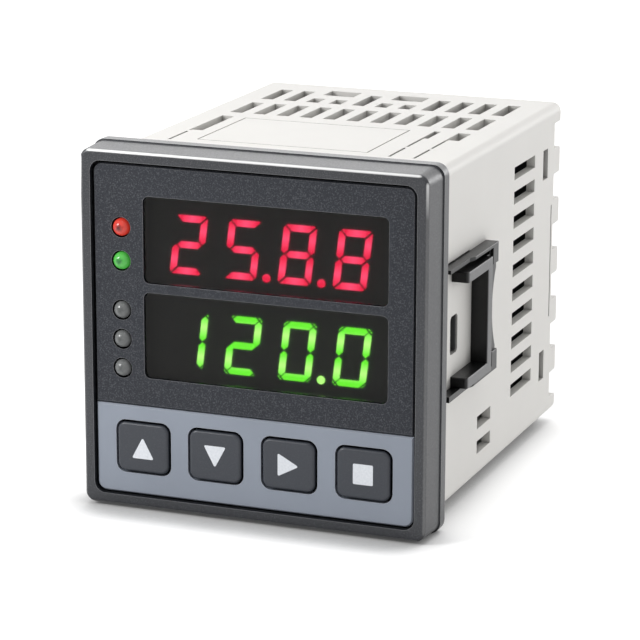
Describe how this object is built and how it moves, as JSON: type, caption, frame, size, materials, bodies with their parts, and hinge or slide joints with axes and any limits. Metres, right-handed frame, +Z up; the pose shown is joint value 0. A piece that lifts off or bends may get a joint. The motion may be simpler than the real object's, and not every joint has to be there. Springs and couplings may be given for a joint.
{
  "type": "pid temperature controller",
  "caption": "Panel-mount PID temperature controller: square charcoal bezel with a two-row LED display, lamps and keys, a vented light grey case, rear screw terminals and slide-on panel clips.",
  "frame": {"origin": "centre of the panel cut-out in the plane of the panel's front face, where the bezel seats", "axes": "+X to the right seen from the front, +Y rearwards into the panel, +Z up"},
  "size_m": [0.0494, 0.0606, 0.048],
  "materials": {
    "bezel_plastic": "fine satin grain",
    "fascia_plastic": "fine speckled texture",
    "band_plastic": "satin",
    "key_plastic": "satin",
    "icon_print": "pad print",
    "lens_glass": "smoke tint",
    "module_black": "matte",
    "segment_red": "lit",
    "segment_green": "lit",
    "lamp_red": "clear dome",
    "lamp_green": "clear dome",
    "lamp_grey": "milky dome",
    "component_black": "moulded",
    "board_green": "solder mask",
    "capacitor_sleeve": "sleeve",
    "case_plastic": "satin",
    "terminal_plastic": "matte",
    "contact_metal": "nickel plated",
    "screw_steel": "zinc plated",
    "clip_plastic": "satin"
  },
  "bodies": {
    "case": {"bezel": "bezel_plastic", "capacitor": "capacitor_sleeve", "case": "case_plastic", "contact_left_1": "contact_metal", "contact_left_2": "contact_metal", "contact_left_3": "contact_metal", "contact_left_4": "contact_metal", "contact_left_5": "contact_metal", "contact_left_6": "contact_metal", "contact_right_1": "contact_metal", "contact_right_2": "contact_metal", "contact_right_3": "contact_metal", "contact_right_4": "contact_metal", "contact_right_5": "contact_metal", "contact_right_6": "contact_metal", "digits_lower": "segment_green", "digits_upper": "segment_red", "display_lower": "module_black", "display_upper": "module_black", "fascia": "fascia_plastic", "front_board": "board_green", "key_band": "band_plastic", "lamp_1": "lamp_red", "lamp_2": "lamp_green", "lamp_3": "lamp_grey", "lamp_4": "lamp_grey", "lamp_5": "lamp_grey", "left_board": "board_green", "lens_lower": "lens_glass", "lens_upper": "lens_glass", "relay": "component_black", "right_board": "board_green", "screw_left_1": "screw_steel", "screw_left_2": "screw_steel", "screw_left_3": "screw_steel", "screw_left_4": "screw_steel", "screw_left_5": "screw_steel", "screw_left_6": "screw_steel", "screw_right_1": "screw_steel", "screw_right_2": "screw_steel", "screw_right_3": "screw_steel", "screw_right_4": "screw_steel", "screw_right_5": "screw_steel", "screw_right_6": "screw_steel", "switch_down": "component_black", "switch_run": "component_black", "switch_stop": "component_black", "switch_up": "component_black", "terminal_block": "terminal_plastic", "transformer": "component_black"},
    "key_up": {"key_up": "key_plastic"},
    "key_down": {"key_down": "key_plastic"},
    "key_run": {"key_run": "key_plastic"},
    "key_stop": {"key_stop": "key_plastic"},
    "clip_right": {"clip_right": "clip_plastic"},
    "clip_left": {"clip_left": "clip_plastic"}
  },
  "joints": [
    {"name": "key_up_press", "type": "slide", "parent": "case", "child": "key_up", "axis": [0, 1, 0], "range_m": [0, 0.0005], "stiffness_N_per_m": 600, "springref_m": -0.001},
    {"name": "key_down_press", "type": "slide", "parent": "case", "child": "key_down", "axis": [0, 1, 0], "range_m": [0, 0.0005], "stiffness_N_per_m": 600, "springref_m": -0.001},
    {"name": "key_run_press", "type": "slide", "parent": "case", "child": "key_run", "axis": [0, 1, 0], "range_m": [0, 0.0005], "stiffness_N_per_m": 600, "springref_m": -0.001},
    {"name": "key_stop_press", "type": "slide", "parent": "case", "child": "key_stop", "axis": [0, 1, 0], "range_m": [0, 0.0005], "stiffness_N_per_m": 600, "springref_m": -0.001},
    {"name": "clip_right_slide", "type": "slide", "parent": "case", "child": "clip_right", "axis": [0, 1, 0], "range_m": [-0.0011, 0.006]},
    {"name": "clip_left_slide", "type": "slide", "parent": "case", "child": "clip_left", "axis": [0, 1, 0], "range_m": [-0.0011, 0.006]}
  ]
}
